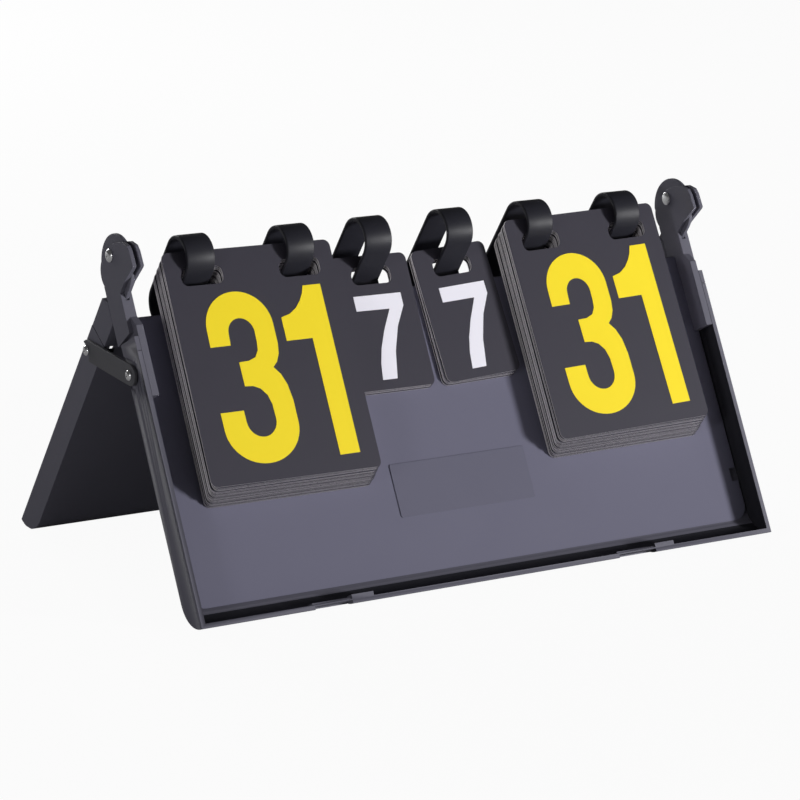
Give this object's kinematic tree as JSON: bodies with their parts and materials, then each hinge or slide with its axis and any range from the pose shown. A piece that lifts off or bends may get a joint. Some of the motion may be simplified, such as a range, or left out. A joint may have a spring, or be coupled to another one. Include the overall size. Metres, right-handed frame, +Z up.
{
  "type": "flip scoreboard",
  "caption": "Tabletop flip scoreboard: two hinged trays stand as an A-frame with side stays, and decks of numbered cards hang on open loops over the front tray",
  "frame": {"origin": "centre of the bounding box on the surface it stands on", "axes": "X along the board's width, -Y towards the players who read it, Z up"},
  "size_m": [0.3928, 0.224, 0.1961],
  "materials": {
    "case_grey": "moulded grey plastic, fine matt grain",
    "panel_grey": "smooth satin sheet",
    "label_grey": "bare satin plate",
    "arm_black": "moulded charcoal plastic, satin",
    "ring_black": "glossy black plastic",
    "rivet_steel": "bright domed steel",
    "card_grey": "satin plastic card",
    "ink_yellow": "flat print",
    "ink_white": "flat print"
  },
  "bodies": {
    "stand": {"front_shell": "case_grey", "front_panel": "panel_grey", "label_plate": "label_grey", "left_front_arm": "case_grey", "right_front_arm": "case_grey", "left_hinge_rivet": "rivet_steel", "right_hinge_rivet": "rivet_steel", "left_stay_rivet": "rivet_steel", "right_stay_rivet": "rivet_steel", "ring_1": "ring_black", "ring_2": "ring_black", "ring_3": "ring_black", "ring_4": "ring_black", "ring_5": "ring_black", "ring_6": "ring_black", "ring_screws": "rivet_steel"},
    "rear_tray": {"rear_shell": "case_grey", "rear_panel": "panel_grey", "left_rear_arm": "case_grey", "right_rear_arm": "case_grey", "left_stay_stud": "rivet_steel", "right_stay_stud": "rivet_steel"},
    "stay_left": {"left_stay": "arm_black"},
    "stay_right": {"right_stay": "arm_black"},
    "deck_left_big": {"left_big_deck": "card_grey"},
    "card_left_big": {"left_big_card": "card_grey", "left_big_number": "ink_yellow"},
    "deck_left_small": {"left_small_deck": "card_grey"},
    "card_left_small": {"left_small_card": "card_grey", "left_small_number": "ink_white"},
    "deck_right_small": {"right_small_deck": "card_grey"},
    "card_right_small": {"right_small_card": "card_grey", "right_small_number": "ink_white"},
    "deck_right_big": {"right_big_deck": "card_grey"},
    "card_right_big": {"right_big_card": "card_grey", "right_big_number": "ink_yellow"}
  },
  "joints": [
    {"name": "case_fold", "type": "hinge", "parent": "stand", "child": "rear_tray", "pos_m": [0, -0.00257, 0.18358], "axis": [1, 0, 0], "range_deg": [0, 297.4]},
    {"name": "stay_swing_left", "type": "hinge", "parent": "stand", "child": "stay_left", "pos_m": [-0.1935, -0.03032, 0.12276], "axis": [1, 0, 0], "range_deg": [0, 60]},
    {"name": "stay_swing_right", "type": "hinge", "parent": "stand", "child": "stay_right", "pos_m": [0.1935, -0.03032, 0.12276], "axis": [1, 0, 0], "range_deg": [0, 60]},
    {"name": "tilt_left_big", "type": "hinge", "parent": "stand", "child": "deck_left_big", "pos_m": [-0.1129, -0.00631, 0.16163], "axis": [1, 0, 0], "range_deg": [-15, 0]},
    {"name": "flip_left_big", "type": "hinge", "parent": "deck_left_big", "child": "card_left_big", "pos_m": [-0.1129, -0.00678, 0.17905], "axis": [-1, 0, 0], "range_deg": [0, 185]},
    {"name": "tilt_left_small", "type": "hinge", "parent": "stand", "child": "deck_left_small", "pos_m": [-0.03, -0.00658, 0.16115], "axis": [1, 0, 0], "range_deg": [-15, 0]},
    {"name": "flip_left_small", "type": "hinge", "parent": "deck_left_small", "child": "card_left_small", "pos_m": [-0.03, -0.00006, 0.16919], "axis": [-1, 0, 0], "range_deg": [0, 55]},
    {"name": "tilt_right_small", "type": "hinge", "parent": "stand", "child": "deck_right_small", "pos_m": [0.025, -0.00658, 0.16115], "axis": [1, 0, 0], "range_deg": [-15, 0]},
    {"name": "flip_right_small", "type": "hinge", "parent": "deck_right_small", "child": "card_right_small", "pos_m": [0.025, -0.00006, 0.16919], "axis": [-1, 0, 0], "range_deg": [0, 55]},
    {"name": "tilt_right_big", "type": "hinge", "parent": "stand", "child": "deck_right_big", "pos_m": [0.1129, -0.00631, 0.16163], "axis": [1, 0, 0], "range_deg": [-15, 0]},
    {"name": "flip_right_big", "type": "hinge", "parent": "deck_right_big", "child": "card_right_big", "pos_m": [0.1129, -0.00678, 0.17905], "axis": [-1, 0, 0], "range_deg": [0, 185]}
  ]
}
